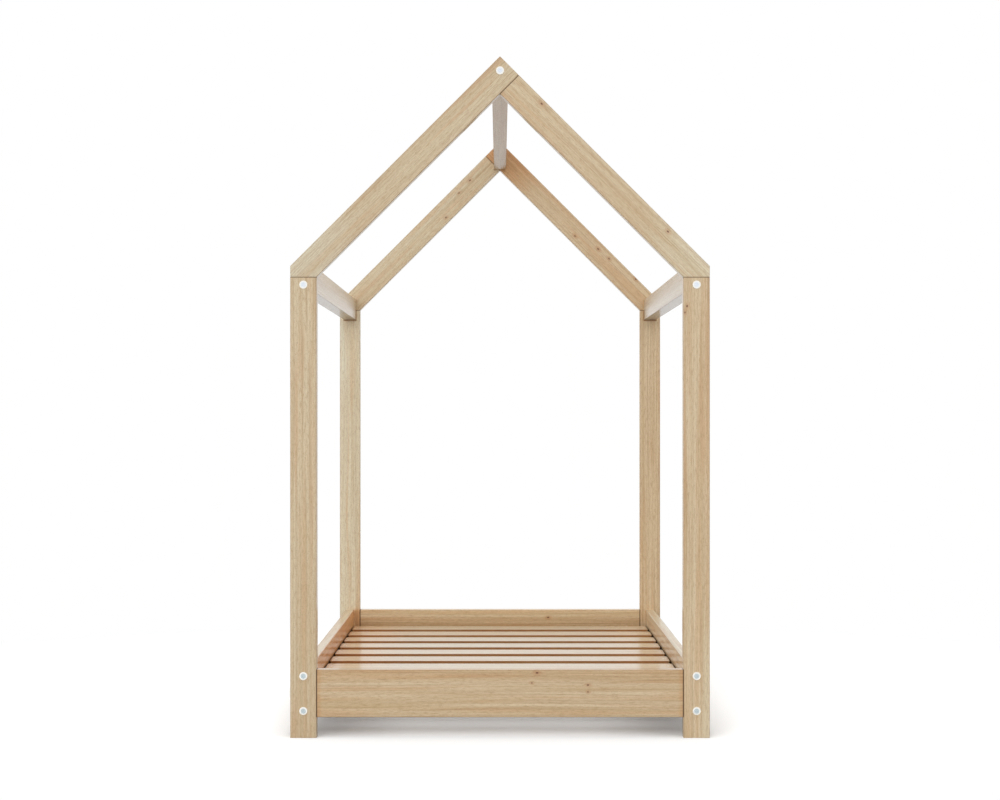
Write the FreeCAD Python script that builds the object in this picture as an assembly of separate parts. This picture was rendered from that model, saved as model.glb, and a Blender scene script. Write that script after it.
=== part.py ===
import FreeCAD, Part
import math
import os

# House frame bed for a child, in millimetres.
# The origin lies on the floor under the middle of the bed. +X is to the right, +Z is up,
# and the two gables stand across the ends of the Y axis, the front gable at -Y.
# The rear gable is the front gable turned half round about Z, and so is all that repeats.

# --- Mattress space -----------------------------------------------------------------------
mattress_width = 700.0
mattress_length = 1400.0
mattress_side_play = 11.0         # free space on each long side
mattress_end_play = 6.0           # free space at each end

# --- Boards -------------------------------------------------------------------------------
frame_board_width = 50.0          # posts and rafters, seen from the front
frame_board_thickness = 30.0      # posts and rafters, along Y
edge_radius = 1.5                 # rounding of the long edges
end_edge_radius = 0.8             # rims of the sawn ends, so that every joint shows as a line
post_height = 870.0               # floor to the seam between post and rafter
roof_pitch = 45.0                 # degrees

rail_height = 90.0
side_rail_thickness = 20.0
end_rail_thickness = frame_board_thickness    # flush with the posts on both faces
rail_floor_clearance = 39.0

eaves_beam_height = 50.0
eaves_beam_thickness = 30.0
eaves_beam_drop = 24.0            # how far the beam reaches below the seam

ridge_beam_height = 54.0
ridge_beam_thickness = 30.0
ridge_beam_lift = 1.5             # above the inner corner of the gable

# --- Slatted base -------------------------------------------------------------------------
slat_count = 9
slat_width = 100.0
slat_thickness = 18.0
slat_edge_radius = 1.0
slat_corner_radius = 8.0          # seen from above
slat_end_gap = 3.0                # slit between a slat's end and the side rail
slat_end_margin = 46.0            # from the end rail to the nearest slat
mattress_sink = 36.5              # top of the slats below the top of the rails
bearer_width = 25.0
bearer_height = 30.0
bearer_edge_radius = 2.0
bearer_end_gap = 41.0             # leaves the cross holes in the rail's ends open

# --- Connector bolts and barrel nuts --------------------------------------------------------
bolt_diameter = 6.0
bolt_hole_diameter = 7.0
bolt_head_diameter = 16.0
bolt_head_height = 2.6
bolt_head_rim = 1.0               # upright part of the head's edge
bolt_head_flat_diameter = 12.0
bolt_dish_diameter = 8.0          # shallow cone round the socket
bolt_dish_depth = 0.5
bolt_socket_across_flats = 5.0
bolt_socket_depth = 2.0
bolt_past_nut = 3.0               # bolt end beyond the barrel nut
bolt_hole_spare = 2.0             # depth of the hole beyond the bolt's end
nut_diameter = 10.0
nut_length = 14.0
nut_setback = 32.0                # from the end of a beam to the axis of its barrel nut
nut_slot_width = 1.2
nut_slot_depth = 1.6
fit_gap = 0.1                     # round dowels, barrel nuts, screws and threads

rail_bolt_edge_distance = 12.0    # bolts of the side rails, from the rail's top and bottom
eaves_bolt_edge_distance = 9.5    # from the beam's bottom
ridge_bolt_edge_distance = 12.0   # from the beam's top

# --- Wooden dowels ------------------------------------------------------------------------
dowel_diameter = 8.0
dowel_length = 40.0
dowel_chamfer = 1.0
dowel_end_space = 1.0             # spare depth beyond each end
locating_dowel_length = 36.0      # between a beam's end and the gable
locating_dowel_in_gable = 16.0
post_dowel_offset = 14.0          # to each side of the post's middle
apex_dowel_offset = 15.0          # to each side of the middle of the apex seam
rail_dowel_offset = 25.0          # above and below the middle of an end rail
eaves_dowel_rise = 14.0           # above the seam between post and rafter
ridge_dowel_drop = 16.0           # below the ridge bolt

# --- Wood screws --------------------------------------------------------------------------
screw_diameter = 4.0
screw_head_diameter = 8.0
screw_tip_length = 4.0
screw_recess_width = 1.0
screw_recess_span = 4.4
screw_recess_depth = 1.5
slat_screw_length = 35.0
bearer_screw_length = 40.0

# --- Derived sizes ------------------------------------------------------------------------
inner_width = mattress_width + 2 * mattress_side_play
inner_length = mattress_length + 2 * mattress_end_play
half_inner_length = inner_length / 2
half_length = half_inner_length + frame_board_thickness
gable_middle_y = half_inner_length + frame_board_thickness / 2

post_middle_x = inner_width / 2 + side_rail_thickness / 2
post_outer_x = post_middle_x + frame_board_width / 2
post_inner_x = post_middle_x - frame_board_width / 2

rail_top = rail_floor_clearance + rail_height
rail_middle_z = rail_floor_clearance + rail_height / 2
slat_top = rail_top - mattress_sink
slat_bottom = slat_top - slat_thickness
bearer_bottom = slat_bottom - bearer_height
bearer_inner_x = inner_width / 2 - bearer_width
bearer_middle_x = inner_width / 2 - bearer_width / 2
slat_pitch = (inner_length - 2 * slat_end_margin - slat_width) / (slat_count - 1)
first_slat_y = -half_inner_length + slat_end_margin + slat_width / 2

pitch_angle = math.radians(roof_pitch)
pitch_rise = math.tan(pitch_angle)
inner_apex_z = post_height + post_inner_x * pitch_rise
outer_apex_z = inner_apex_z + frame_board_width / math.cos(pitch_angle)
shoulder_z = outer_apex_z - post_outer_x * pitch_rise
apex_seam_top_x = frame_board_width / (2 * math.sin(pitch_angle))
apex_seam_top_z = outer_apex_z - apex_seam_top_x * pitch_rise

eaves_beam_bottom = post_height - eaves_beam_drop
eaves_bolt_z = eaves_beam_bottom + eaves_bolt_edge_distance
eaves_dowel_z = post_height + eaves_dowel_rise
ridge_beam_bottom = inner_apex_z + ridge_beam_lift
ridge_bolt_z = ridge_beam_bottom + ridge_beam_height - ridge_bolt_edge_distance
ridge_dowel_z = ridge_bolt_z - ridge_dowel_drop
side_bolt_heights = (
    rail_floor_clearance + rail_bolt_edge_distance,
    rail_top - rail_bolt_edge_distance,
)

nut_reach = nut_setback + nut_diameter / 2 + bolt_past_nut
beam_bolt_length = frame_board_thickness + nut_reach
end_rail_bolt_length = frame_board_width + nut_reach
nut_hole_radius = nut_diameter / 2 + fit_gap
dowel_hole_radius = dowel_diameter / 2 + fit_gap

RIGHT = FreeCAD.Vector(1, 0, 0)
LEFT = FreeCAD.Vector(-1, 0, 0)
BACK = FreeCAD.Vector(0, 1, 0)
UP = FreeCAD.Vector(0, 0, 1)
DOWN = FreeCAD.Vector(0, 0, -1)
ORIGIN = FreeCAD.Vector(0, 0, 0)


# --- Shared shapes ------------------------------------------------------------------------
def turned_half_round(shape):
    """The same piece at the other end and on the other side of the bed."""
    copy = shape.copy()
    copy.rotate(ORIGIN, UP, 180)
    return copy


def placed(shape, point, direction):
    """A shape built along +Z from the origin, moved to a point and turned along a direction."""
    copy = shape.copy()
    copy.Placement = FreeCAD.Placement(point, FreeCAD.Rotation(UP, direction))
    return copy


def drill(point, direction, radius, depth):
    return Part.makeCylinder(radius, depth, point, direction)


def cut_all(shape, cutters):
    return shape.cut(Part.makeCompound(cutters))


def edges_along(shape, direction):
    """Straight edges that run along a direction."""
    found = []
    for edge in shape.Edges:
        run = edge.Vertexes[-1].Point - edge.Vertexes[0].Point
        if run.cross(direction).Length < 1e-6 * run.Length:
            found.append(edge)
    return found


def end_face(shape, way):
    """The face that lies farthest out in a direction."""
    return max(shape.Faces, key=lambda face: face.CenterOfMass.dot(way))


def eased_end(shape, way):
    """The shape with a small rounding round the rim of its end face."""
    return shape.makeFillet(end_edge_radius, end_face(shape, way).OuterWire.Edges)


def bar(corner, size, run, radius):
    """Bar from its lowest corner, with the edges along its run rounded and both ends eased."""
    box = Part.makeBox(size.x, size.y, size.z, corner)
    rounded = box.makeFillet(radius, edges_along(box, run))
    return eased_end(eased_end(rounded, run), -run)


# --- Fasteners, built along +Z with the head's underside at the origin ----------------------
def connector_bolt(length):
    """Flat-headed furniture bolt with a hexagon socket; the head lies below the origin.

    The head's edge is an arc that leaves the flat top smoothly and ends on the upright rim.
    """
    head_radius = bolt_head_diameter / 2
    flat_radius = bolt_head_flat_diameter / 2
    dish_radius = bolt_dish_diameter / 2
    shank_radius = bolt_diameter / 2
    run = head_radius - flat_radius
    drop = bolt_head_height - bolt_head_rim
    arc_radius = (run ** 2 + drop ** 2) / (2 * drop)
    half_turn = math.asin(run / arc_radius) / 2
    on_arc = FreeCAD.Vector(
        flat_radius + arc_radius * math.sin(half_turn),
        0,
        -bolt_head_height + arc_radius * (1 - math.cos(half_turn)),
    )
    dish_bottom = FreeCAD.Vector(0, 0, bolt_dish_depth - bolt_head_height)
    dish_edge = FreeCAD.Vector(dish_radius, 0, -bolt_head_height)
    crown = FreeCAD.Vector(flat_radius, 0, -bolt_head_height)
    rim = FreeCAD.Vector(head_radius, 0, -bolt_head_rim)
    seat = FreeCAD.Vector(head_radius, 0, 0)
    neck = FreeCAD.Vector(shank_radius, 0, 0)
    point = FreeCAD.Vector(shank_radius, 0, length)
    end = FreeCAD.Vector(0, 0, length)
    profile = Part.Wire([
        Part.makeLine(dish_bottom, dish_edge),
        Part.makeLine(dish_edge, crown),
        Part.Arc(crown, on_arc, rim).toShape(),
        Part.makeLine(rim, seat),
        Part.makeLine(seat, neck),
        Part.makeLine(neck, point),
        Part.makeLine(point, end),
        Part.makeLine(end, dish_bottom),
    ])
    blank = Part.Face(profile).revolve(ORIGIN, UP, 360)
    corner_radius = bolt_socket_across_flats / math.sqrt(3)
    corners = [
        FreeCAD.Vector(
            corner_radius * math.cos(math.radians(60 * step)),
            corner_radius * math.sin(math.radians(60 * step)),
            -bolt_head_height,
        )
        for step in range(7)
    ]
    socket = Part.Face(Part.makePolygon(corners)).extrude(UP * bolt_socket_depth)
    return blank.cut(socket)


def barrel_nut():
    """Cross dowel of steel: round bar with a threaded cross hole and a slot in its end."""
    body = Part.makeCylinder(nut_diameter / 2, nut_length, DOWN * (nut_length / 2), UP)
    thread = Part.makeCylinder(
        bolt_diameter / 2 + fit_gap, nut_diameter, LEFT * (nut_diameter / 2), RIGHT
    )
    slot = Part.makeBox(
        nut_diameter,
        nut_slot_width,
        nut_slot_depth,
        FreeCAD.Vector(-nut_diameter / 2, -nut_slot_width / 2, nut_length / 2 - nut_slot_depth),
    )
    return cut_all(body, [thread, slot])


def dowel(length):
    """Round wooden dowel with chamfered ends."""
    rod = Part.makeCylinder(dowel_diameter / 2, length)
    ends = [edge for edge in rod.Edges if edge.Closed]
    return rod.makeChamfer(dowel_chamfer, ends)


def wood_screw(length):
    """Countersunk wood screw with a cross recess; the flat of the head is at the origin."""
    head_radius = screw_head_diameter / 2
    shank_radius = screw_diameter / 2
    head_depth = head_radius - shank_radius
    outline = Part.makePolygon([
        FreeCAD.Vector(0, 0, 0),
        FreeCAD.Vector(head_radius, 0, 0),
        FreeCAD.Vector(shank_radius, 0, head_depth),
        FreeCAD.Vector(shank_radius, 0, length - screw_tip_length),
        FreeCAD.Vector(0, 0, length),
        FreeCAD.Vector(0, 0, 0),
    ])
    blank = Part.Face(outline).revolve(ORIGIN, UP, 360)
    across = Part.makeBox(
        screw_recess_span,
        screw_recess_width,
        screw_recess_depth,
        FreeCAD.Vector(-screw_recess_span / 2, -screw_recess_width / 2, 0),
    )
    along = Part.makeBox(
        screw_recess_width,
        screw_recess_span,
        screw_recess_depth,
        FreeCAD.Vector(-screw_recess_width / 2, -screw_recess_span / 2, 0),
    )
    return blank.cut(across.fuse(along))


def screw_hole(point, direction, length):
    """Countersunk hole that holds a wood screw all round with the fit gap."""
    head_radius = screw_head_diameter / 2 + fit_gap
    shank_radius = screw_diameter / 2 + fit_gap
    sink = Part.makeCone(head_radius, shank_radius, head_radius - shank_radius, point, direction)
    return sink.fuse(drill(point, direction, shank_radius, length + fit_gap))


def nut_hole(mouth, direction, beam_thickness):
    """Blind cross hole that seats a barrel nut in the middle of a beam's thickness."""
    return drill(mouth, direction, nut_hole_radius, beam_thickness / 2 + nut_length / 2)


# --- Places of the joints, for the front end; the rest follow by the half turn --------------
def gable_bolt_places():
    """Each (x, z) where a connector bolt passes through the front gable along Y."""
    places = {"side_rail": [], "eaves": [], "ridge": [(0.0, ridge_bolt_z)]}
    for side in (-1, 1):
        places["eaves"].append((side * post_middle_x, eaves_bolt_z))
        for height in side_bolt_heights:
            places["side_rail"].append((side * post_middle_x, height))
    return places


def gable_bolt_holes():
    holes = []
    for group in gable_bolt_places().values():
        for x, z in group:
            start = FreeCAD.Vector(x, -half_length, z)
            holes.append(drill(start, BACK, bolt_hole_diameter / 2, frame_board_thickness))
    return holes


def end_rail_bolt_starts():
    """Outer faces of the front posts, at the middle of the end rail, with the way inwards."""
    starts = []
    for side, inwards in ((-1, RIGHT), (1, LEFT)):
        point = FreeCAD.Vector(side * post_outer_x, -gable_middle_y, rail_middle_z)
        starts.append((point, inwards))
    return starts


def post_dowel_starts():
    """Lower ends of the upright dowels between the front posts and rafters."""
    starts = []
    for side in (-1, 1):
        for offset in (-post_dowel_offset, post_dowel_offset):
            x = side * post_middle_x + offset
            starts.append(FreeCAD.Vector(x, -gable_middle_y, post_height - dowel_length / 2))
    return starts


def end_rail_dowel_starts():
    """Left ends of the dowels between the front posts and the front end rail."""
    starts = []
    for side in (-1, 1):
        for offset in (-rail_dowel_offset, rail_dowel_offset):
            x = side * post_inner_x - dowel_length / 2
            starts.append(FreeCAD.Vector(x, -gable_middle_y, rail_middle_z + offset))
    return starts


def apex_dowel_direction():
    """Square to the apex seam, from the through rafter into the butted rafter."""
    return FreeCAD.Vector(math.sin(pitch_angle), 0, -math.cos(pitch_angle))


def apex_dowel_starts():
    along = FreeCAD.Vector(math.cos(pitch_angle), 0, math.sin(pitch_angle))
    middle = FreeCAD.Vector(
        apex_seam_top_x / 2, -gable_middle_y, (inner_apex_z + apex_seam_top_z) / 2
    )
    back = apex_dowel_direction() * (dowel_length / 2)
    return [middle + along * offset - back for offset in (-apex_dowel_offset, apex_dowel_offset)]


def locating_dowel_places():
    """Each (x, z) where a dowel along Y keeps a beam's end from turning on its one bolt."""
    return [
        (-post_middle_x, eaves_dowel_z),
        (post_middle_x, eaves_dowel_z),
        (0.0, ridge_dowel_z),
    ]


def locating_dowel_start(x, z):
    return FreeCAD.Vector(x, -half_inner_length - locating_dowel_in_gable, z)


def dowel_hole(start, direction, length):
    """Hole for a whole dowel, with the spare depth beyond both ends."""
    mouth = start - direction * dowel_end_space
    return drill(mouth, direction, dowel_hole_radius, length + 2 * dowel_end_space)


def gable_dowel_holes():
    """Every dowel hole that touches the front gable's posts, rafters and end rail."""
    holes = [dowel_hole(start, UP, dowel_length) for start in post_dowel_starts()]
    holes += [dowel_hole(start, RIGHT, dowel_length) for start in end_rail_dowel_starts()]
    way = apex_dowel_direction()
    holes += [dowel_hole(start, way, dowel_length) for start in apex_dowel_starts()]
    for x, z in locating_dowel_places():
        holes.append(dowel_hole(locating_dowel_start(x, z), BACK, locating_dowel_length))
    return holes


# --- Gable: two posts, two rafters and an end rail ------------------------------------------
def front_post(side):
    """Upright with a square top, bored for the rails, the eaves beam and its dowels."""
    corner = FreeCAD.Vector(side * post_middle_x - frame_board_width / 2, -half_length, 0)
    size = FreeCAD.Vector(frame_board_width, frame_board_thickness, post_height)
    post = bar(corner, size, UP, edge_radius)
    cross_bolts = [
        drill(point, inwards, bolt_hole_diameter / 2, frame_board_width)
        for point, inwards in end_rail_bolt_starts()
    ]
    return cut_all(post, gable_bolt_holes() + gable_dowel_holes() + cross_bolts)


def gable_board(outline, joint_ways):
    """Board cut to an outline in the gable's plane; outline is a list of (x, z) corners.

    joint_ways holds the directions in which its sawn ends face another board. Their rims are
    eased, and all other edges get the full rounding.
    """
    corners = [FreeCAD.Vector(x, -half_length, z) for x, z in outline]
    face = Part.Face(Part.makePolygon(corners + corners[:1]))
    board = face.extrude(BACK * frame_board_thickness)
    rims = [edge for way in joint_ways for edge in end_face(board, way).Edges]
    rounded = [edge for edge in board.Edges if not any(edge.isSame(rim) for rim in rims)]
    board = board.makeFillet(edge_radius, rounded)
    for way in joint_ways:
        board = eased_end(board, way)
    return board


def front_through_rafter():
    """Left rafter: it runs on to the apex, where its end is cut along the other slope."""
    outline = [
        (-post_outer_x, post_height),
        (-post_inner_x, post_height),
        (apex_seam_top_x, apex_seam_top_z),
        (0.0, outer_apex_z),
        (-post_outer_x, shoulder_z),
    ]
    rafter = gable_board(outline, [DOWN])
    return cut_all(rafter, gable_bolt_holes() + gable_dowel_holes())


def front_butted_rafter():
    """Right rafter: its upper end stands against the lower edge of the left one."""
    outline = [
        (post_inner_x, post_height),
        (post_outer_x, post_height),
        (post_outer_x, shoulder_z),
        (apex_seam_top_x, apex_seam_top_z),
        (0.0, inner_apex_z),
    ]
    rafter = gable_board(outline, [DOWN, -apex_dowel_direction()])
    return cut_all(rafter, gable_bolt_holes() + gable_dowel_holes())


def front_end_rail():
    """Rail between the posts, flush with their faces; its cross holes open inwards."""
    corner = FreeCAD.Vector(-post_inner_x, -half_length, rail_floor_clearance)
    size = FreeCAD.Vector(2 * post_inner_x, end_rail_thickness, rail_height)
    rail = bar(corner, size, RIGHT, edge_radius)
    holes = gable_dowel_holes()
    for side, inwards in ((-1, RIGHT), (1, LEFT)):
        end = FreeCAD.Vector(side * post_inner_x, -gable_middle_y, rail_middle_z)
        holes.append(drill(end, inwards, bolt_hole_diameter / 2, nut_reach + bolt_hole_spare))
        mouth = FreeCAD.Vector(end.x + inwards.x * nut_setback, -half_inner_length, rail_middle_z)
        holes.append(nut_hole(mouth, -BACK, end_rail_thickness))
    return cut_all(rail, holes)


# --- Members that run from gable to gable ---------------------------------------------------
def long_member_holes(bolts, nut_mouth_x, nut_direction, thickness):
    """Bolt and cross holes for both ends; bolts lists each (x, z) of the front end's bolts."""
    holes = []
    for x, z in bolts:
        front = FreeCAD.Vector(x, -half_inner_length, z)
        holes.append(drill(front, BACK, bolt_hole_diameter / 2, nut_reach + bolt_hole_spare))
        rear = FreeCAD.Vector(x, half_inner_length, z)
        holes.append(drill(rear, -BACK, bolt_hole_diameter / 2, nut_reach + bolt_hole_spare))
        for end_y in (-half_inner_length + nut_setback, half_inner_length - nut_setback):
            mouth = FreeCAD.Vector(nut_mouth_x, end_y, z)
            holes.append(nut_hole(mouth, nut_direction, thickness))
    return holes


def both_ends_locating_holes():
    front = [
        dowel_hole(locating_dowel_start(x, z), BACK, locating_dowel_length)
        for x, z in locating_dowel_places()
    ]
    return front + [turned_half_round(hole) for hole in front]


def left_side_rail():
    outer_face = -inner_width / 2 - side_rail_thickness
    corner = FreeCAD.Vector(outer_face, -half_inner_length, rail_floor_clearance)
    size = FreeCAD.Vector(side_rail_thickness, inner_length, rail_height)
    rail = bar(corner, size, BACK, edge_radius)
    bolts = [(-post_middle_x, height) for height in side_bolt_heights]
    holes = long_member_holes(bolts, -inner_width / 2, LEFT, side_rail_thickness)
    return cut_all(rail, holes + left_bearer_screw_holes())


def left_eaves_beam():
    """Beam along the eaves, level with the seam, half behind the post and half behind the rafter."""
    inner_face = -post_middle_x + eaves_beam_thickness / 2
    corner = FreeCAD.Vector(inner_face - eaves_beam_thickness, -half_inner_length, eaves_beam_bottom)
    size = FreeCAD.Vector(eaves_beam_thickness, inner_length, eaves_beam_height)
    beam = bar(corner, size, BACK, edge_radius)
    bolts = [(-post_middle_x, eaves_bolt_z)]
    holes = long_member_holes(bolts, inner_face, LEFT, eaves_beam_thickness)
    return cut_all(beam, holes + both_ends_locating_holes())


def ridge_beam():
    """Beam under the roof's ridge, hidden behind the apex of each gable."""
    corner = FreeCAD.Vector(-ridge_beam_thickness / 2, -half_inner_length, ridge_beam_bottom)
    size = FreeCAD.Vector(ridge_beam_thickness, inner_length, ridge_beam_height)
    beam = bar(corner, size, BACK, edge_radius)
    holes = long_member_holes([(0.0, ridge_bolt_z)], ridge_beam_thickness / 2, LEFT, ridge_beam_thickness)
    return cut_all(beam, holes + both_ends_locating_holes())


# --- Slatted base ---------------------------------------------------------------------------
def slat_middles():
    return [first_slat_y + number * slat_pitch for number in range(slat_count)]


def bearer_screw_starts():
    """Heads of the screws that hold the left bearer, one between each two slats."""
    height = slat_bottom - bearer_height / 2
    return [
        FreeCAD.Vector(-bearer_inner_x, middle + slat_pitch / 2, height)
        for middle in slat_middles()[:-1]
    ]


def left_bearer_screw_holes():
    return [screw_hole(start, LEFT, bearer_screw_length) for start in bearer_screw_starts()]


def slat_screw_starts():
    """Heads of the slat screws, one over each bearer at each slat."""
    return [
        FreeCAD.Vector(side * bearer_middle_x, middle, slat_top)
        for middle in slat_middles()
        for side in (-1, 1)
    ]


def slat_screw_holes():
    return [screw_hole(start, DOWN, slat_screw_length) for start in slat_screw_starts()]


def left_slat_bearer():
    """Batten on the inside of the side rail that carries the slats' ends."""
    corner = FreeCAD.Vector(-inner_width / 2, -half_inner_length + bearer_end_gap, bearer_bottom)
    size = FreeCAD.Vector(bearer_width, inner_length - 2 * bearer_end_gap, bearer_height)
    bearer = bar(corner, size, BACK, bearer_edge_radius)
    return cut_all(bearer, left_bearer_screw_holes() + slat_screw_holes())


def slat(middle_y):
    """Flat slat with rounded corners; its long and short edges are eased above and below."""
    length = inner_width - 2 * slat_end_gap
    corner = FreeCAD.Vector(-length / 2, middle_y - slat_width / 2, slat_bottom)
    board = Part.makeBox(length, slat_width, slat_thickness, corner)
    board = board.makeFillet(slat_corner_radius, edges_along(board, UP))
    rims = [edge for edge in board.Edges if edge.BoundBox.ZLength < slat_edge_radius]
    board = board.makeFillet(slat_edge_radius, rims)
    return cut_all(board, slat_screw_holes())


# --- Fasteners in their places --------------------------------------------------------------
def both_ends(shapes):
    """The front end's pieces and their half-turned copies at the rear, as one group."""
    return Part.makeCompound(shapes + [turned_half_round(shape) for shape in shapes])


def gable_bolts(group):
    bolt = connector_bolt(beam_bolt_length)
    return both_ends([
        placed(bolt, FreeCAD.Vector(x, -half_length, z), BACK)
        for x, z in gable_bolt_places()[group]
    ])


def beam_nut(x, z, opening):
    """Barrel nut in the front end of a long member, lying along X, slotted end to the opening.

    The nut's own cross hole lies along X when it stands upright, so it is first spun to Y.
    """
    nut = barrel_nut()
    nut.rotate(ORIGIN, UP, 90)
    nut.rotate(ORIGIN, BACK, 90 * opening)
    nut.translate(FreeCAD.Vector(x, -half_inner_length + nut_setback, z))
    return nut


def gable_nuts(group):
    nuts = []
    for x, z in gable_bolt_places()[group]:
        opening = -1 if x > 0 else 1
        nuts.append(beam_nut(x, z, opening))
    return both_ends(nuts)


def end_rail_bolts():
    bolt = connector_bolt(end_rail_bolt_length)
    return both_ends([placed(bolt, point, inwards) for point, inwards in end_rail_bolt_starts()])


def end_rail_nuts():
    nuts = []
    for side in (-1, 1):
        nut = barrel_nut()
        nut.rotate(ORIGIN, RIGHT, -90)
        x = side * (post_inner_x - nut_setback)
        nut.translate(FreeCAD.Vector(x, -gable_middle_y, rail_middle_z))
        nuts.append(nut)
    return both_ends(nuts)


def post_dowels():
    return both_ends([placed(dowel(dowel_length), start, UP) for start in post_dowel_starts()])


def end_rail_dowels():
    return both_ends([placed(dowel(dowel_length), start, RIGHT) for start in end_rail_dowel_starts()])


def apex_dowels():
    way = apex_dowel_direction()
    return both_ends([placed(dowel(dowel_length), start, way) for start in apex_dowel_starts()])


def locating_dowels(places):
    return both_ends([
        placed(dowel(locating_dowel_length), locating_dowel_start(x, z), BACK) for x, z in places
    ])


def bearer_screws():
    screw = wood_screw(bearer_screw_length)
    return both_ends([placed(screw, start, LEFT) for start in bearer_screw_starts()])


def slat_screws():
    screw = wood_screw(slat_screw_length)
    return Part.makeCompound([placed(screw, start, DOWN) for start in slat_screw_starts()])


# --- The whole bed --------------------------------------------------------------------------
def all_pieces():
    pieces = {
        "front_left_post": front_post(-1),
        "front_right_post": front_post(1),
        "front_left_rafter": front_through_rafter(),
        "front_right_rafter": front_butted_rafter(),
        "front_end_rail": front_end_rail(),
        "left_side_rail": left_side_rail(),
        "left_eaves_beam": left_eaves_beam(),
        "left_slat_bearer": left_slat_bearer(),
    }
    swap = {"front": "rear", "left": "right", "right": "left"}
    for name, shape in list(pieces.items()):
        turned_name = "_".join(swap.get(word, word) for word in name.split("_"))
        pieces[turned_name] = turned_half_round(shape)
    pieces["ridge_beam"] = ridge_beam()
    for number, middle in enumerate(slat_middles(), start=1):
        pieces[f"slat_{number}"] = slat(middle)
    pieces["side_rail_bolts"] = gable_bolts("side_rail")
    pieces["eaves_bolts"] = gable_bolts("eaves")
    pieces["ridge_bolts"] = gable_bolts("ridge")
    pieces["end_rail_bolts"] = end_rail_bolts()
    pieces["side_rail_barrel_nuts"] = gable_nuts("side_rail")
    pieces["eaves_barrel_nuts"] = gable_nuts("eaves")
    pieces["ridge_barrel_nuts"] = gable_nuts("ridge")
    pieces["end_rail_barrel_nuts"] = end_rail_nuts()
    pieces["post_head_dowels"] = post_dowels()
    pieces["apex_dowels"] = apex_dowels()
    pieces["end_rail_dowels"] = end_rail_dowels()
    pieces["eaves_dowels"] = locating_dowels(locating_dowel_places()[:2])
    pieces["ridge_dowels"] = locating_dowels(locating_dowel_places()[2:])
    pieces["slat_bearer_screws"] = bearer_screws()
    pieces["slat_screws"] = slat_screws()
    return pieces


os.makedirs("parts", exist_ok=True)
for node, piece in all_pieces().items():
    piece.exportStep(f"parts/{node}.step")
    box = piece.BoundBox
    sizes = f"{box.XLength:.1f} x {box.YLength:.1f} x {box.ZLength:.1f} mm"
    print(f"{node}: {len(piece.Solids)} solid(s), {sizes}")
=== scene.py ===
# %% [markdown]
# # A child's bed in the shape of a small house
# The bed is a frame of planed beech boards: two gables, joined by low side rails, two eaves
# beams and a ridge beam, with nine slats between the side rails. The construction model holds
# every board at its real size, and this file gives each one its finish. It also turns the
# small parts that a close look shows: bolts and screws with sockets and threads.

# %% Load the construction model
import math

import bpy
import numpy as np
from mathutils import Matrix, Vector


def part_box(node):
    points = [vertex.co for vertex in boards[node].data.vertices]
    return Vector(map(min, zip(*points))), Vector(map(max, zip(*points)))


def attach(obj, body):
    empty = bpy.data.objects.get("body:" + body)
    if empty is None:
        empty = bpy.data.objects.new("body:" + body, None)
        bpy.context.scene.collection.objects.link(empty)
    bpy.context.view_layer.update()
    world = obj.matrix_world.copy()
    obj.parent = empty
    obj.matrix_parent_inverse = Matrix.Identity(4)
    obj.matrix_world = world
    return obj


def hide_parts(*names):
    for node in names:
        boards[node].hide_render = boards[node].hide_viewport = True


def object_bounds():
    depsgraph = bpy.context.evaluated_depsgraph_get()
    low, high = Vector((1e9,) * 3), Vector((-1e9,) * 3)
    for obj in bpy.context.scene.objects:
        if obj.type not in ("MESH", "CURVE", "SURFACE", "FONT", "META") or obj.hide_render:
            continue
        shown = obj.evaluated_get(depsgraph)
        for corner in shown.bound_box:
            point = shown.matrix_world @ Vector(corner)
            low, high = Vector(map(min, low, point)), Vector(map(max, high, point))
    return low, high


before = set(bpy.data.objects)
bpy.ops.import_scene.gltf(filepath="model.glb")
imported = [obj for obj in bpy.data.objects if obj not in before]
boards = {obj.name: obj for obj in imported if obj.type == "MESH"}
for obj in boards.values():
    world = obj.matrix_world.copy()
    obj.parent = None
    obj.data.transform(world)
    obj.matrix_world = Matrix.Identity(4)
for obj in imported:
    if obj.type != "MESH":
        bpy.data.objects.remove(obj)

cad_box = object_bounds()
print(f"{len(boards)} nodes loaded, {(cad_box[1] - cad_box[0]).z:.3f} m high")

# %% [markdown]
# ## The camera
# The bed is seen straight on from one end, with its long lines running together at a single
# point. Upright posts need a level camera. The horizon then lies where those lines meet, and a
# shift of the lens brings the roof into the picture without tilting the posts. The height
# follows from the floor line, and the focal length from how much smaller the far gable looks.

# %% Camera
picture_width = 1000  # pixels
picture_height = 800
vanishing_column = 500.0  # where the bed's long lines meet
horizon_row = 417.0
floor_row = 738.05  # where the front posts stand
front_scale = 530.0  # pixels for a metre in the plane of the front gable
eye_distance = 4.637  # metres in front of that plane
sensor_width = 36.0  # millimetres
view_depth = 200.0  # metres, past the far corners of the floor


def set_camera():
    """A level camera whose lens shift puts the horizon on its row.

    Focal length in pixels = scale in the front plane times the distance to it. Eye height =
    rows from the horizon to the floor line, divided by the same scale.
    """
    lens = bpy.data.cameras.new("bed_camera")
    lens.sensor_width = sensor_width
    lens.lens = sensor_width * front_scale * eye_distance / picture_width
    lens.shift_x = (picture_width / 2 - vanishing_column) / picture_width
    lens.shift_y = (horizon_row - picture_height / 2) / picture_width
    lens.clip_end = view_depth
    camera = bpy.data.objects.new("bed_camera", lens)
    front_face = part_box("front_end_rail")[0].y
    eye_height = (floor_row - horizon_row) / front_scale
    camera.location = (0, front_face - eye_distance, eye_height)
    camera.rotation_euler = (math.radians(90), 0, 0)
    bpy.context.scene.collection.objects.link(camera)
    bpy.context.scene.camera = camera
    bpy.context.scene.view_settings.view_transform = "Standard"
    print(f"lens {lens.lens:.1f} mm, eye {eye_height:.3f} m above the floor")


set_camera()

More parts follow.
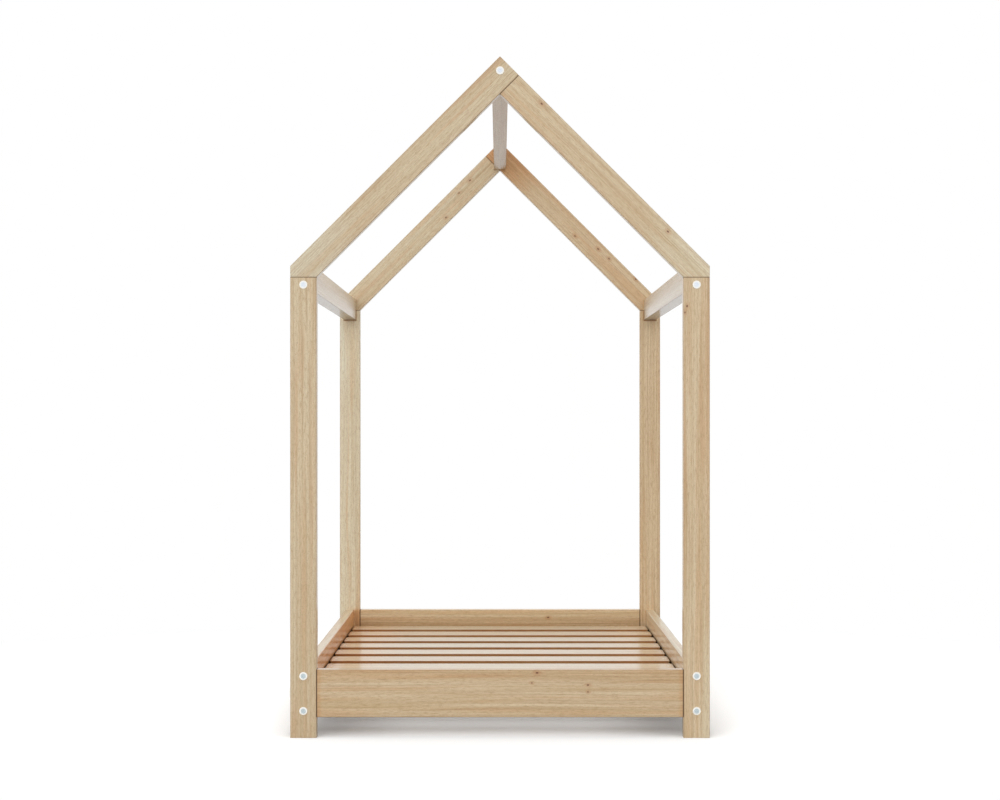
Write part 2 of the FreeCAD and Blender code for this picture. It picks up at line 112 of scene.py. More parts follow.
# %% [markdown]
# ## Wiring shader nodes
# A finish is a small network: coordinates go in, and a colour, a roughness and a height come
# out. Naming each node by hand would bury the idea, so short helpers add one node, wire its
# inputs and hand back its output.

# %% Helpers for shader nodes


def linear(red, green, blue):
    """Linear colour for display values from 0 to 255, by the sRGB curve."""
    shown = np.array([red, green, blue]) / 255
    return (*np.where(shown > 0.04045, ((shown + 0.055) / 1.055) ** 2.4, shown / 12.92), 1.0)


def node(tree, kind, inputs=None, **settings):
    """One new node. Each input is a plain value, or the output of another node."""
    made = tree.nodes.new("ShaderNode" + kind)
    for name, value in settings.items():
        setattr(made, name, value)
    for name, value in (inputs or {}).items():
        if isinstance(value, bpy.types.NodeSocket):
            tree.links.new(value, made.inputs[name])
        else:
            made.inputs[name].default_value = value
    return made


def maths(tree, operation, first, second=0.0):
    return node(tree, "Math", {0: first, 1: second}, operation=operation).outputs[0]


def vector_maths(tree, operation, first, second=(0, 0, 0)):
    made = node(tree, "VectorMath", {0: first, 1: second}, operation=operation)
    return made.outputs["Value" if operation in ("LENGTH", "DOT_PRODUCT") else "Vector"]


def between(tree, value, low, high, at_low=0.0, at_high=1.0):
    """Eases from one value to another while the input goes from low to high."""
    inputs = {
        "Value": value, "From Min": low, "From Max": high, "To Min": at_low, "To Max": at_high,
    }
    return node(tree, "MapRange", inputs, interpolation_type="SMOOTHSTEP").outputs[0]


def mixed(tree, share, first, second, way="MIX"):
    """Mix of two colours, wired by number, as the node has sockets of other kinds too."""
    share_in, first_in, second_in, colour_out = 0, 6, 7, 2
    inputs = {share_in: share, first_in: first, second_in: second}
    return node(tree, "Mix", inputs, data_type="RGBA", blend_type=way).outputs[colour_out]


def noise(tree, place, scale, detail=2.0, roughness=0.5):
    """Noise stretched by a scale for each axis, in waves to the metre."""
    stretched = vector_maths(tree, "MULTIPLY", place, scale)
    inputs = {"Vector": stretched, "Scale": 1.0, "Detail": detail, "Roughness": roughness}
    return node(tree, "TexNoise", inputs)


def new_material(name):
    material = bpy.data.materials.new(name)
    material.use_nodes = True
    material.node_tree.nodes.clear()
    return material


print(f"mid grey on a display is {linear(128, 128, 128)[0]:.3f} in linear light")

# %% [markdown]
# ## Beech
# The boards are pale beech under a satin varnish, with soft streaks a centimetre wide, faint
# growth rings, hair-fine fibres, the short dark flecks of the rays and a few pin knots.
#
# A picture wrapped round the board would break at its edges. So the wood is solid here: the
# colour is worked out from the point in space. Each board has its own coordinates, with the
# first axis along the grain, and its own place in the log. The rings that run along a face then
# also meet at its end, as they do when a board is sawn.

# %% How a board lies in the log
grain_colours = {
    "pale": linear(225, 203, 167),
    "warm": linear(209, 181, 139),
    "ring": linear(176, 139, 97),
    "blush": linear(214, 177, 134),
    "fleck": linear(140, 97, 62),
    "halo": linear(186, 130, 84),
    "knot": linear(92, 50, 26),
}
ring_spacing = 0.0032
pith_distance = (0.05, 0.11)  # nearest and furthest, from a board's middle
log_length = 40.0  # room for every board's own piece of the pattern


def board_place(name, along, face):
    """Middle, half sizes and axes of a board, measured on its corners.

    The axes are the grain, the width (face crossed with grain) and the face's normal. Each
    corner's distance along an axis is their dot product, and the middle lies half way between
    the least and the greatest.
    """
    along = Vector(along).normalized()
    face = Vector(face)
    axes = Matrix((along, face.cross(along), face)).transposed()
    mesh = boards[name].data
    corners = np.empty(len(mesh.vertices) * 3, np.float32)
    mesh.vertices.foreach_get("co", corners)
    measured = corners.reshape(-1, 3) @ np.array(axes)
    low, high = measured.min(axis=0), measured.max(axis=0)
    return axes @ Vector((low + high) / 2), (high - low) / 2, axes


def board_coordinates(tree, middle, axes):
    """Turns the point into the board's own axes, measured from its middle."""
    here = node(tree, "TexCoord").outputs["Object"]
    inputs = {"Vector": here, "Location": middle, "Rotation": axes.to_euler()}
    return node(tree, "Mapping", inputs, vector_type="TEXTURE").outputs[0]


print(f"{len(grain_colours)} colours of beech")

# %% [markdown]
# ### Growth rings
# A growth ring is a circle round the pith. The distance from the pith, divided by the ring
# spacing, leaves a fraction that tells how far the point is through its ring, and a ramp turns
# that into late wood, which is darkest just before the ring ends. The rings of one tree differ
# in width, so a noise along the same distance is added before the fraction is taken.

# %% Growth rings
year_scale, year_shift = 130.0, 3.0  # waves to the metre, and the rings they shift by
late_wood_ends = (0.25, 0.2)  # late wood where a ring starts and where it ends,
late_wood_within = ((0.12, 0.0), (0.6, 0.25), (0.92, 1.0))  # and at shares of it in between


def ring_pattern(tree, place, pith, seed):
    """Late wood of the growth rings, from 0 to 1, by the distance from the pith."""
    outwards = vector_maths(tree, "SUBTRACT", place, (0, *pith))
    flat = vector_maths(tree, "MULTIPLY", outwards, (0, 1, 1))
    distance = vector_maths(tree, "LENGTH", flat)
    inputs = {"W": maths(tree, "ADD", distance, seed), "Scale": year_scale, "Detail": 1.0}
    years = node(tree, "TexNoise", inputs, noise_dimensions="1D").outputs[0]
    uneven = maths(tree, "MULTIPLY", years, year_shift)
    rings = maths(tree, "ADD", maths(tree, "DIVIDE", distance, ring_spacing), uneven)
    ramp = node(tree, "ValToRGB", {"Fac": maths(tree, "FRACT", rings)})
    stops = ramp.color_ramp.elements
    for stop, level in zip(stops, late_wood_ends):
        stop.color = (level, level, level, 1)
    for position, level in late_wood_within:
        stops.new(position).color = (level, level, level, 1)
    return ramp.outputs[0]


print(f"a growth ring every {ring_spacing * 1000:.1f} mm")

# %% [markdown]
# ### Rays and knots
# Rays are thin plates that point at the pith, so cells much longer outwards than sideways give
# dashes on one face and flakes on the other, and chance leaves many cells plain. A pin knot is
# what is left of a twig: a dark heart in a paler halo.

# %% Rays and knots
ray_cell = (0.0026, 0.00035, 0.009)  # length, thickness and depth of a ray's cell
ray_rim = (0.42, 0.18)  # from its middle: where a dash starts and is full
ray_choice = (0.45, 0.6)  # chance values that leave a cell plain, and fill it
knot_shape = (1.7, 1.0, 30.0)  # reach along, across and through, in a knot's sizes
knot_heart = (1.1, 0.45)  # where its heart starts and is full,
knot_halo = (4.0, 0.6)  # and where the halo round it does


def ray_flecks(tree, place, pith):
    """Short dark dashes where a ray comes to the surface, from 0 to 1."""
    turn = math.atan2(pith[1], pith[0]) - math.pi / 2
    inputs = {"Vector": place, "Rotation": (turn, 0, 0), "Scale": ray_cell}
    cells = node(tree, "Mapping", inputs, vector_type="TEXTURE").outputs[0]
    spots = node(tree, "TexVoronoi", {"Vector": cells, "Scale": 1.0})
    dash = between(tree, spots.outputs["Distance"], *ray_rim)
    chosen = between(tree, spots.outputs["Color"], *ray_choice)
    return maths(tree, "MULTIPLY", dash, chosen)


def pin_knot(tree, place, spot, size):
    """Two masks for one knot: its dark heart, and the halo that fades out round it.

    The knot is a spike through the board, longer along the grain than across it.
    """
    reach = tuple(1 / (size * part) for part in knot_shape)
    offset = vector_maths(tree, "SUBTRACT", place, (*spot, 0))
    distance = vector_maths(tree, "LENGTH", vector_maths(tree, "MULTIPLY", offset, reach))
    return between(tree, distance, *knot_heart), between(tree, distance, *knot_halo)


print(f"a ray's dash is {ray_cell[0] * 1000:.1f} mm long")

# %% [markdown]
# ### Edges, ends and shades
# The long edges are rounded and sanded last, so the varnish gathers there, and a thin darker line
# along them is also painted shade for their rounded faces. End grain drinks varnish and is darker
# again. Neither needs a mask painted by hand: an edge is where the point is near both of the
# board's half sizes, and end grain is where the surface faces along the grain.
#
# A joint shows as a thin dark line. The other shades are painted light and shade: parts are
# painted darker and warmer where shade falls, such as between the slats, under the eaves beams and
# in the slits by the rails, and lighter where more light falls. Such a shade is a tint that eases
# in between two distances along an axis of the board, and the product of a few such ramps keeps
# it to a strip or a corner.

# %% Edges, ends and shades
warm_shares = (0.95, 0.62, 0.39)  # what the warmest board keeps of red, green and blue
edge_reach, edge_full = 0.0024, 0.0004  # from the edge: where its shade starts and is full
end_turn = (0.3, 0.65)  # cosines to the grain where end grain starts and is full


def tint_of(tone, warmth):
    """Colour that a tint multiplies by: the tone, times each share to the power of the warmth."""
    return (*(tone * share ** warmth for share in warm_shares), 1.0)


def shaded(tree, colour, place, shades):
    """Tints parts of a board: a point's share of a tint is the product of the shade's ramps."""
    parts = node(tree, "SeparateXYZ", {0: place}).outputs
    for ramps, tone, warmth in shades:
        share = 1.0
        for axis, start, finish in ramps:
            share = maths(tree, "MULTIPLY", between(tree, parts[axis], start, finish), share)
        colour = mixed(tree, share, colour, tint_of(tone, warmth), "MULTIPLY")
    return colour


def edge_mask(tree, place, half):
    """1 on the rounded long edges, where width and thickness both near their half sizes."""
    parts = node(tree, "SeparateXYZ", {0: place}).outputs
    near = []
    for axis in (1, 2):
        inside = maths(tree, "ABSOLUTE", parts[axis])
        size = float(half[axis])
        near.append(between(tree, inside, size - edge_reach, size - edge_full))
    return maths(tree, "MULTIPLY", *near)


def end_mask(tree, along):
    """1 where the surface faces along the grain."""
    facing = node(tree, "TexCoord").outputs["Normal"]
    lined_up = maths(tree, "ABSOLUTE", vector_maths(tree, "DOT_PRODUCT", facing, along))
    return between(tree, lined_up, *end_turn)


print("the warmest tint is", [round(part, 2) for part in tint_of(1.0, 1.0)[:3]])

# %% [markdown]
# ### The finish
# A tree is never straight, so a slow noise first bends the point sideways. The colour is then
# built up in layers, from the broad to the fine: streaks and a pinkish blush, then rings, lines
# and fibres, and the flecks of the rays last. One picture of wood would be simpler, but it would
# repeat, and no two boards are alike. The same patterns give the surface a relief too fine for
# the mesh, and a clear coat over it is the varnish.

# %% Layers of grain
fibre_scale = (75.0, 600.0, 600.0)  # waves to the metre along, across and through
line_scale = (1.3, 330.0, 330.0)
streak_scale = (1.1, 62.0, 62.0)
blush_scale = (3.0, 75.0, 75.0)
wander_scale = (1.6, 8.0, 8.0)
wander_reach = 0.014  # metres between the furthest bends to either side
grain_layers = [  # pattern, levels where it starts and is full, strength, colour
    ("streaks", (0.40, 0.72), 1.00, "warm"),
    ("blush", (0.46, 0.66), 0.70, "blush"),
    ("rings", None, 0.20, "ring"),
    ("lines", (0.42, 0.72), 0.42, "ring"),
    ("lines", (0.64, 0.80), 0.55, "fleck"),
    ("fibres", (0.44, 0.72), 0.56, "ring"),
    ("flecks", None, 0.42, "fleck"),
]


def grown_place(tree, place, shift, knots):
    """Where the point lay in a straight tree without knots, and the masks of the knots."""
    shifted = vector_maths(tree, "ADD", place, shift)
    chance = noise(tree, shifted, wander_scale, 1.0).outputs["Color"]
    wander = vector_maths(tree, "SUBTRACT", chance, (0.5, 0.5, 0.5))
    sideways = vector_maths(tree, "MULTIPLY", wander, (0, wander_reach, wander_reach))
    grown = vector_maths(tree, "ADD", place, sideways)
    masks = []
    for along_board, across_board, size in knots:
        heart, halo = pin_knot(tree, place, (along_board, across_board), size)
        swell = maths(tree, "MULTIPLY", halo, size)
        push = node(tree, "CombineXYZ", {1: swell, 2: swell}).outputs[0]
        grown = vector_maths(tree, "ADD", grown, push)
        masks.append((heart, halo))
    return grown, masks


def grain_patterns(tree, grown, pith, seed, shift):
    """Every pattern of the wood, each from 0 to 1."""
    shifted = vector_maths(tree, "ADD", grown, shift)
    return {
        "streaks": noise(tree, shifted, streak_scale, 3.0, 0.55).outputs[0],
        "blush": noise(tree, shifted, blush_scale, 2.0, 0.5).outputs[0],
        "rings": ring_pattern(tree, grown, pith, float(seed)),
        "lines": noise(tree, shifted, line_scale, 3.0, 0.6).outputs[0],
        "fibres": noise(tree, shifted, fibre_scale, 3.0, 0.7).outputs[0],
        "flecks": ray_flecks(tree, shifted, pith),
    }


def marked(tree, colour, mask, strength, shade):
    """Mixes in one of the wood's colours: its share is the mask times the strength."""
    return mixed(tree, maths(tree, "MULTIPLY", mask, strength), colour, grain_colours[shade])


def layered(tree, patterns):
    """The colour of plain wood: the pale ground, with each layer mixed in."""
    colour = grain_colours["pale"]
    for pattern, levels, strength, shade in grain_layers:
        mask = between(tree, patterns[pattern], *levels) if levels else patterns[pattern]
        colour = marked(tree, colour, mask, strength, shade)
    return colour


print(f"{len(grain_layers)} layers of grain")

# %% The beech finish
refraction = 1.5  # index of wood and of varnish
halo_strength, heart_strength = 0.5, 0.95
edge_strength, end_strength = 0.3, 0.35
painted_edge_levels = (0.2, 0.6, 0.5, 1.0)  # two levels of the fibres, and an edge's share at each
fibre_gloss = (0.3, 0.75, 0.34, 0.47)  # two levels of the fibres, and the roughness at each
relief_shares = {"fibres": 0.7, "rings": 0.3, "flecks": -0.25}
relief_height, relief_strength = 0.0004, 0.25
varnish_roughness, wood_shine = 0.15, 0.6
satin = 0.5  # strength of the usual varnish


def relief_of(tree, patterns):
    """Fine relief: the sum of the patterns, each times its share; rays lie a little lower."""
    height = 0.0
    for pattern, share in relief_shares.items():
        height = maths(tree, "ADD", height, maths(tree, "MULTIPLY", patterns[pattern], share))
    inputs = {"Height": height, "Strength": relief_strength, "Distance": relief_height}
    return node(tree, "Bump", inputs).outputs[0]


def beech(name, middle, axes, pith, seed, look, knots=(), shades=(), half=None, along=None):
    """One board's finish. Its look is a tone, a warmth and the strength of the varnish.

    The tone scales its brightness, and the warmth leans from plain to orange: it takes away
    most of the blue and some of the green.
    """
    tone, warmth, varnish = look
    material = new_material("beech_" + name)
    tree = material.node_tree
    place = board_coordinates(tree, middle, axes)
    rng = np.random.default_rng(seed)
    grown, knot_masks = grown_place(tree, place, tuple(rng.uniform(0, log_length, 3)), knots)
    patterns = grain_patterns(tree, grown, pith, seed, tuple(rng.uniform(0, log_length, 3)))
    colour = layered(tree, patterns)
    for heart, halo in knot_masks:
        colour = marked(tree, colour, halo, halo_strength, "halo")
        colour = marked(tree, colour, heart, heart_strength, "knot")
    # painted shade: a thin darker line along the long edges, partly varnish gathered there
    if half is not None:
        painted_edge_share = between(tree, patterns["fibres"], *painted_edge_levels)
        edge = maths(tree, "MULTIPLY", edge_mask(tree, place, half), painted_edge_share)
        colour = marked(tree, colour, edge, edge_strength, "fleck")
    if along is not None:
        colour = marked(tree, colour, end_mask(tree, along), end_strength, "ring")
    colour = shaded(tree, colour, place, shades)
    inputs = {
        "Base Color": mixed(tree, 1.0, colour, tint_of(tone, warmth), "MULTIPLY"),
        "Roughness": between(tree, patterns["fibres"], *fibre_gloss),
        "Normal": relief_of(tree, patterns),
        "IOR": refraction,
        "Specular IOR Level": wood_shine * varnish,
        "Coat Weight": varnish,
        "Coat Roughness": varnish_roughness,
        "Coat IOR": refraction,
    }
    shader = node(tree, "BsdfPrincipled", inputs)
    node(tree, "OutputMaterial", {"Surface": shader.outputs[0]})
    return material


print(f"varnish of strength {satin} on most boards")

# %% [markdown]
# ## Dressing the boards
# Each board needs to know which way its grain runs and which way its wide face looks. The knots
# are listed: a distance along the board from its middle, one across it, and a size.

# %% Grain direction and knots of every board
UP, RIGHT, BACK = (0, 0, 1), (1, 0, 0), (0, 1, 0)
RISING_RIGHT, RISING_LEFT = (1, 0, 1), (-1, 0, 1)
board_runs = {
    "post": (UP, BACK),
    "end_rail": (RIGHT, BACK),
    "side_rail": (BACK, RIGHT),
    "eaves_beam": (BACK, RIGHT),
    "ridge_beam": (BACK, RIGHT),
    "slat_bearer": (BACK, RIGHT),
    "left_rafter": (RISING_RIGHT, BACK),
    "right_rafter": (RISING_LEFT, BACK),
    "slat_": (RIGHT, UP),
}
board_marks = {  # pin knots: along, across and size
    "front_right_rafter": [(0.193, 0.017, 0.0019), (-0.146, 0.015, 0.0018)],
    "rear_left_rafter": [(0.192, -0.010, 0.0020), (0.151, -0.007, 0.0017), (0.085, 0.013, 0.0018)],
    "rear_right_rafter": [
        (-0.009, -0.009, 0.0018), (-0.072, 0.009, 0.0021), (-0.108, 0.011, 0.0018),
        (-0.191, 0.022, 0.0020),
    ],
    "front_right_post": [(0.380, -0.018, 0.0018), (0.368, -0.022, 0.0015)],
    "front_end_rail": [
        (0.070, -0.039, 0.0019), (0.060, -0.020, 0.0013), (0.166, -0.016, 0.0017),
        (0.166, -0.003, 0.0013),
    ],
    "rear_end_rail": [(0.119, -0.026, 0.0021)],
}


def run_of(name):
    """Directions of the grain and of the wide face."""
    for ending, run in board_runs.items():
        if name.endswith(ending) or (ending.endswith("_") and name.startswith(ending)):
            return run
    raise KeyError(name)


print(f"{sum(len(marks) for marks in board_marks.values())} pin knots")

# %% [markdown]
# ### Looks of single boards
# Boards come from different trees, so each may have its own tone and warmth; the tones listed
# here are partly that and partly painted light, which makes a board lighter or darker than the
# lamps leave it. The slat bearers lie under the slats, without varnish, and are painted nearly
# black: painted shade for where they lie. Where two boards meet, their rounded rims make a groove
# that holds shadow and dust, and it is drawn as a thin dark line at the board's end.

# %% Looks and shades
# partly each board's own tone, partly painted light that makes it lighter or darker as lit
board_looks = {  # tone, warmth and varnish where they aren't a board's usual ones
    "front_left_post": (1.0, -0.11, satin),
    "front_right_post": (1.025, -0.05, satin),
    "rear_left_post": (1.165, -0.29, satin),
    "rear_right_post": (1.085, 0.02, satin),
    "front_left_rafter": (0.95, -0.09, satin),
    "front_right_rafter": (1.0, -0.07, satin),
    "rear_left_rafter": (1.107, -0.23, satin),
    "rear_right_rafter": (1.092, -0.04, satin),
    "front_end_rail": (1.01, -0.03, satin),
    "rear_end_rail": (1.225, -0.12, 0.4),
    "left_side_rail": (1.0, -0.1, 0.35),
    "right_side_rail": (1.08, -0.05, 0.4),
    "left_eaves_beam": (1.0, -0.05, 0.6),
    "right_eaves_beam": (0.96, -0.2, 0.6),
    "ridge_beam": (0.96, 0.1, 0.26),
    # painted shade: the bearers nearly black, as they lie in shade under the slats
    "left_slat_bearer": (0.16, 1.0, 0.0),
    "right_slat_bearer": (0.16, 1.0, 0.0),
}
seam_tint = (0.3, 0.4)  # tone and warmth of a joint's dark line
seam_reach, seam_full = 0.0018, 0.0006  # from a board's end: where the line starts and is full
rail_joint = [(0, -0.3045, -0.3065), (0, -0.3965, -0.3945)]  # where an end rail meets a post
# painted shadow: a thin dark line on a rear post, just below the eaves beam
under_beam = (  # a thin line on a rear post, just below the eaves beam
    [(0, 0.4070, 0.4095), (2, -0.0130, -0.0148), (1, -0.0175, -0.0155), (1, 0.0175, 0.0155)],
    0.55, 0.8,
)
# painted shade on the underside of each eaves beam
beam_underside = ([(1, -0.0238, -0.0246)], 0.59, 0.085)


def rail_seam(side):
    """Dark line on the side of a post that an end rail meets: 1 is its right side, -1 its left."""
    return ([(1, side * 0.0234, side * 0.0244)] + rail_joint, *seam_tint)


# Painted light and shade on every slat, row by row below.
slat_shades = [  # ramps, each an axis, a start and a finish; tone and warmth
    # painted shade: both long sides darker and browner, between the slats
    ([(1, -0.0486, -0.0498)], 0.68, 1.0),
    ([(1, 0.0486, 0.0498)], 0.68, 1.0),
    # darker and warmer along the front of the top
    ([(1, -0.036, -0.048)], 0.96, 0.2),
    # painted light: lighter towards both ends, and warmer at the left
    ([(0, -0.20, -0.33)], 1.16, 0.38),
    ([(0, 0.20, 0.33)], 1.15, 0.05),
    # painted shade: darker at the very ends, by the slits along the rails
    ([(0, -0.353, -0.357)], 0.6, 0.4),
    ([(0, 0.353, 0.357)], 0.6, 0.4),
]
# Shades of single boards; besides the dark lines of joints, most are painted light and shade:
board_shades = {
    "left_side_rail": [
        # painted shade: the left rail's inner face more orange
        ([(2, 0.0082, 0.0094)], 1.2, 1.05),
        # painted shade: the rail's inner face nearly black below the slats, seen through the slits
        ([(2, 0.008, 0.0095), (1, 0.009, 0.004)], 0.1, 0.6),
        # painted light: the rail's top lighter and less warm
        ([(1, 0.0438, 0.0448)], 1.09, -0.05),
    ],
    "right_side_rail": [
        # painted shade: the rail's inner face nearly black below the slats, seen through the slits
        ([(2, -0.008, -0.0095), (1, 0.009, 0.004)], 0.1, 0.6),
        # painted light: the rail's top lighter and less warm
        ([(1, 0.0438, 0.0448)], 1.01, -0.19),
    ],
    # painted shade: darker and warmer low down, towards the slats
    "rear_end_rail": [([(1, -0.033, -0.020)], 0.85, 0.35)],
    "front_end_rail": [
        # darker and warmer along the top of its face
        ([(1, -0.018, -0.030)], 0.95, 0.18),
        # painted shade: warmer and a little darker next to the posts
        ([(0, -0.334, -0.344)], 0.98, 0.3),
        ([(0, 0.334, 0.344)], 0.98, 0.3),
    ],
    # painted light: the front rafters lighter and less warm towards their low ends
    "front_left_rafter": [([(0, -0.08, -0.22)], 1.04, -0.21)],
    "front_right_rafter": [([(0, -0.08, -0.22)], 1.085, -0.23)],
    # painted shadow of the ridge beam near the apex: darker and warmer
    "rear_right_rafter": [([(0, 0.12, 0.22)], 0.95, 0.6)],
    "left_eaves_beam": [beam_underside],
    "right_eaves_beam": [beam_underside],
    "front_left_post": [rail_seam(1)],
    "rear_left_post": [
        rail_seam(1),
        # painted shade: darker and warmer low on the inner side, between the rails
        ([(0, -0.298, -0.312), (1, 0.0, 0.010)], 0.95, 0.7),
        under_beam,
        # painted light: lighter and less warm towards the top
        ([(0, 0.2, 0.34)], 1.09, -0.15),
    ],
    # painted light in the second shade: lighter and less warm towards the low end
    "front_right_post": [rail_seam(-1), ([(0, -0.05, -0.28)], 1.074, -0.12)],
    # painted light in the last shade: lighter and less warm towards the top
    "rear_right_post": [rail_seam(-1), under_beam, ([(0, 0.2, 0.34)], 1.07, -0.05)],
}
board_seams = {  # ends that meet another board: 1 for the far one, -1 for the near
    "post": (1,),
    "end_rail": (-1, 1),
    "front_right_rafter": (1,),
    "rear_left_rafter": (1,),
}


def end_seam(side, half_length):
    """Dark line across one end of a board."""
    start, full = half_length - seam_reach, half_length - seam_full
    return ([(0, side * start, side * full)], *seam_tint)


def shades_of(name, half_length):
    """The board's own shades, and a dark line at each end that meets another board."""
    own = slat_shades if name.startswith("slat_") else board_shades.get(name, [])
    sides = [side for ending, ends in board_seams.items() if name.endswith(ending) for side in ends]
    return own + [end_seam(side, half_length) for side in sides]


print(f"{len(board_looks)} boards with looks of their own")

# %% [markdown]
# ### Dressing them
# Chance gives every board a place in the log. The pith lies outside the board, at a chance
# angle, so some faces cut the rings into narrow lines and others into wide bands.

# %% Dressing them
usual_tone, usual_warmth = (0.97, 1.05), (-0.2, -0.06)  # lowest and highest
board_seed = 100


def dress_board(name, number):
    """Gives one board its own beech."""
    along, face = run_of(name)
    middle, half, axes = board_place(name, along, face)
    rng = np.random.default_rng(board_seed + number)
    angle = rng.uniform(0, 2 * math.pi)
    reach = rng.uniform(*pith_distance)
    pith = (reach * math.cos(angle), reach * math.sin(angle))
    usual_look = (rng.uniform(*usual_tone), rng.uniform(*usual_warmth), satin)
    boards[name].data.materials[0] = beech(
        name, middle, axes, pith, board_seed + number, board_looks.get(name, usual_look),
        board_marks.get(name, ()), shades_of(name, float(half[0])), half,
        tuple(Vector(along).normalized()),
    )


wooden_boards = [
    name for name in sorted(boards)
    if boards[name].data.materials[0].name.startswith(("frame_wood", "slat_wood", "bearer_wood"))
]
for number, name in enumerate(wooden_boards):
    dress_board(name, number)
print(f"{len(wooden_boards)} boards dressed in beech")

# %% [markdown]
# ### Dowels
# The dowels inside the joints are raw beech, without varnish. Their grain runs the way they
# lie, so each group needs only that direction.

# %% Dowels
dowel_runs = {
    "post_head_dowels": (UP, BACK),
    "apex_dowels": (RISING_LEFT, BACK),
    "end_rail_dowels": (RIGHT, BACK),
    "eaves_dowels": (BACK, RIGHT),
    "ridge_dowels": (BACK, RIGHT),
}
raw_look = (1.0, 0.1, 0.0)  # tone, warmth and no varnish
dowel_pith = (0.08, 0.0)  # where the pith lies, across and through
dowel_seed = 200
for number, (name, (along, face)) in enumerate(dowel_runs.items()):
    middle, _, axes = board_place(name, along, face)
    boards[name].data.materials[0] = beech(
        name, middle, axes, dowel_pith, dowel_seed + number, raw_look,
    )
print(f"{len(dowel_runs)} groups of dowels")

# %% [markdown]
# ## Turned steel parts
# A bolt and a screw are made on a lathe and a thread roller, so both are built here as a stack
# of rings round one axis. A ring is an array of radii, one for each angle. Equal radii give a
# circle, radii that follow the sides of a hexagon give the socket, and radii that dip where the
# thread's phase says so give a thread.

# %% Rings round an axis
points_round = 48  # a multiple of six, so that the hexagon has points at its corners
angles = np.arange(points_round) * 2 * math.pi / points_round


def stack_rings(bands):
    """Two arrays, radii and heights, with one row for each ring and one column for each angle.

    A band is a pair: a radius and a height, each a number, a column with one value for each of
    its rings, or a row with one value for each angle.
    """
    stacked = []
    for band in bands:
        radius, height = (np.atleast_2d(part) for part in band)
        shape = (max(len(radius), len(height)), len(angles))
        stacked.append((np.broadcast_to(radius, shape), np.broadcast_to(height, shape)))
    return np.vstack([r for r, _ in stacked]), np.vstack([h for _, h in stacked])


def lathe(bands):
    """Points and faces of a closed turned piece.

    A point of a ring lies at (radius x cosine, radius x sine, height) of its angle. Four
    neighbours make a face, and a point on the axis closes the first and the last ring.
    """
    radii, heights = stack_rings(bands)
    rings, columns = radii.shape
    ring_points = np.stack([radii * np.cos(angles), radii * np.sin(angles), heights], axis=-1)
    poles = np.array([[0, 0, heights[0].mean()], [0, 0, heights[-1].mean()]])
    points = np.vstack([ring_points.reshape(-1, 3), poles])
    index = np.arange(rings * columns).reshape(rings, columns)
    turned = np.roll(index, -1, axis=1)
    sides = np.stack([index[:-1], turned[:-1], turned[1:], index[1:]], axis=-1).reshape(-1, 4)
    first, last = rings * columns, rings * columns + 1
    start = np.stack([np.full(columns, first), turned[0], index[0]], axis=-1)
    finish = np.stack([np.full(columns, last), index[-1], turned[-1]], axis=-1)
    return points, sides.tolist() + start.tolist() + finish.tolist()


def thread(outer, depth, pitch, start, finish, steps, crest):
    """Band of rings along a thread: the radius dips by the depth between two turns.

    The phase is the height over the pitch less the angle over a full turn, and its fraction
    tells how far the point is from the crest. The dip fades in over the first turn and out over
    the last. There are as many rings to a turn as steps, and crest says how sharp the ridge is:
    1 for a metal thread, more for a wood screw.
    """
    count = int(round((finish - start) / pitch * steps))
    height = np.linspace(start, finish, count + 1)[:, None]
    fraction = (height / pitch - angles / (2 * math.pi)) % 1
    dip = np.clip(np.abs(2 * fraction - 1) * crest, 0, 1)
    fade = np.clip(np.minimum(height - start, finish - height) / pitch, 0, 1)
    return outer - depth * dip * fade, height


print(f"{points_round} points in a ring")

# %% [markdown]
# ### Connector bolt
# The head is a flat disc of 16 mm with a rounded rim, a shallow dish and a hexagon socket. The
# radius to a hexagon's side is the half width over the cosine of the angle from the middle of
# that side. Below the head comes a plain shank, and then an M6 thread with a turn of 1 mm.
# Heights are measured from the wood under the head, and grow into it.

# %% Bolt
head_radius, head_height = 0.008, 0.0026
key_width = 0.004  # across the flats of the socket
socket_floor = -0.0008  # height of the socket's floor,
dish_floor, dish_slope = -0.0021, 0.125  # and of the dish, on the axis and with the radius
dish_radius, flat_start = 0.004, 0.0043
rim_start, rim_width, rim_drop = 0.006, 0.002, 0.0016
shank_radius, tip_radius, tip_chamfer = 0.003, 0.0024, 0.0008
bolt_thread = 0.025  # length of the thread,
bolt_pitch, bolt_depth = 0.001, 0.00055  # its turn and its depth
rim_rings, bolt_rings = 7, 6  # in the rim, and in a turn of the thread


def bolt_bands(length):
    """Bands of a bolt; its rim is an arc that starts level and drops by a given amount."""
    side_angle = angles % math.radians(60) - math.radians(30)
    hexagon = key_width / 2 / np.cos(side_angle)
    bend = (rim_width ** 2 + rim_drop ** 2) / (2 * rim_drop)
    turn = np.linspace(0, math.asin(rim_width / bend), rim_rings)[:, None]
    thread_start, thread_end = length - bolt_thread, length - tip_chamfer
    return [
        (hexagon, socket_floor),
        (hexagon, dish_floor - dish_slope * hexagon),
        (dish_radius, -head_height),
        (flat_start, -head_height),
        (rim_start + bend * np.sin(turn), -head_height + bend * (1 - np.cos(turn))),
        (head_radius, 0.0),
        (shank_radius, 0.0),
        (shank_radius, thread_start),
        thread(shank_radius, bolt_depth, bolt_pitch, thread_start, thread_end, bolt_rings, 1.0),
        (tip_radius, length),
    ]


print(f"bolt heads {2000 * head_radius:.0f} mm wide and {1000 * head_height:.1f} mm high")

# %% [markdown]
# ### Wood screw
# The countersunk head carries a cross recess: two crossed slots that narrow towards the bottom.
# Seen from the axis, such a cross reaches as far as the longer of its two arms at each angle.
# The thread is steep and thin-edged, so that it can cut its way into the wood.

